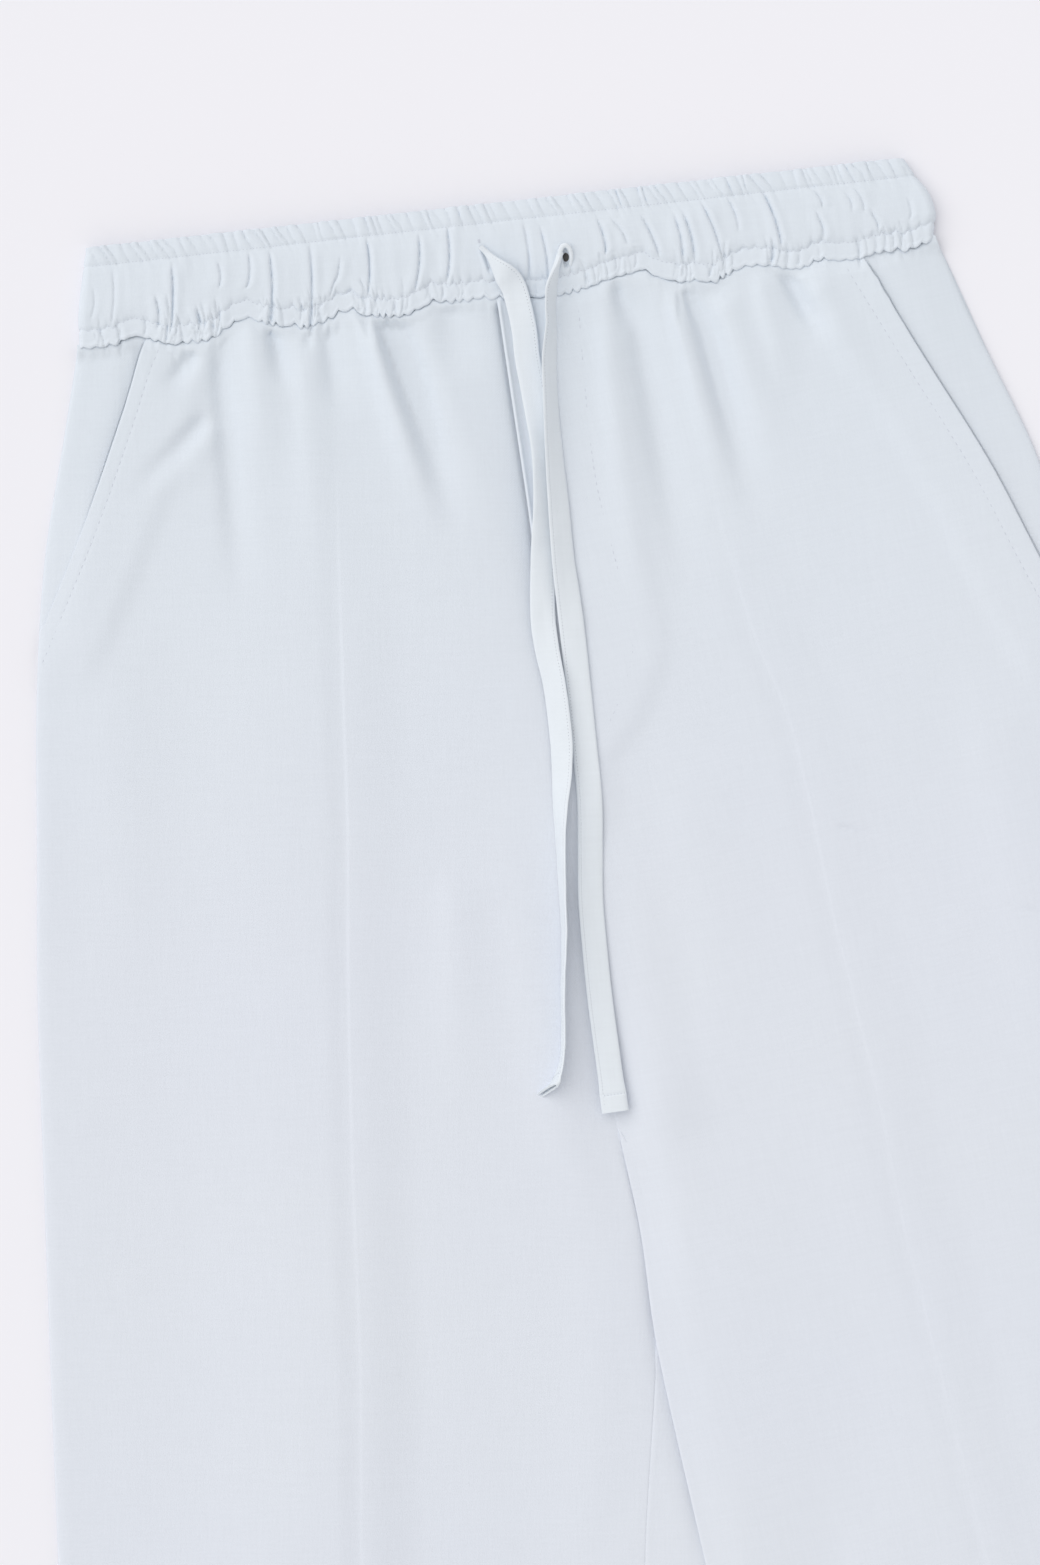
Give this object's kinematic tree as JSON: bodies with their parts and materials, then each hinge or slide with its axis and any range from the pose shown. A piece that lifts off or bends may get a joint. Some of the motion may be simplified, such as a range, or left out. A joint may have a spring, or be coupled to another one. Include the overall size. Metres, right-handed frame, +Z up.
{
  "type": "wide-leg pants",
  "caption": "Wide-leg trousers laid flat, front up, with a gathered drawstring waistband, slanted side pockets, a stitched fly and pressed creases.",
  "frame": {"origin": "centre of the underside of the flat-laid garment, on the surface it lies on", "axes": "+Z up from the surface through the front of the garment, +Y from the hems to the waist, +X to the wearer's left"},
  "size_m": [0.6097, 1.0583, 0.0173],
  "materials": {
    "cloth": "soft matte plain weave, pale blue-white",
    "tie": "soft matte plain weave, off-white"
  },
  "bodies": {
    "root": {"waistband": "cloth", "front_right": "cloth", "front_left": "cloth", "back_right": "cloth", "back_left": "cloth", "pocket_side_right": "cloth", "pocket_side_left": "cloth", "fly_facing": "cloth", "drawstring_right": "tie", "drawstring_left": "tie"}
  },
  "joints": []
}
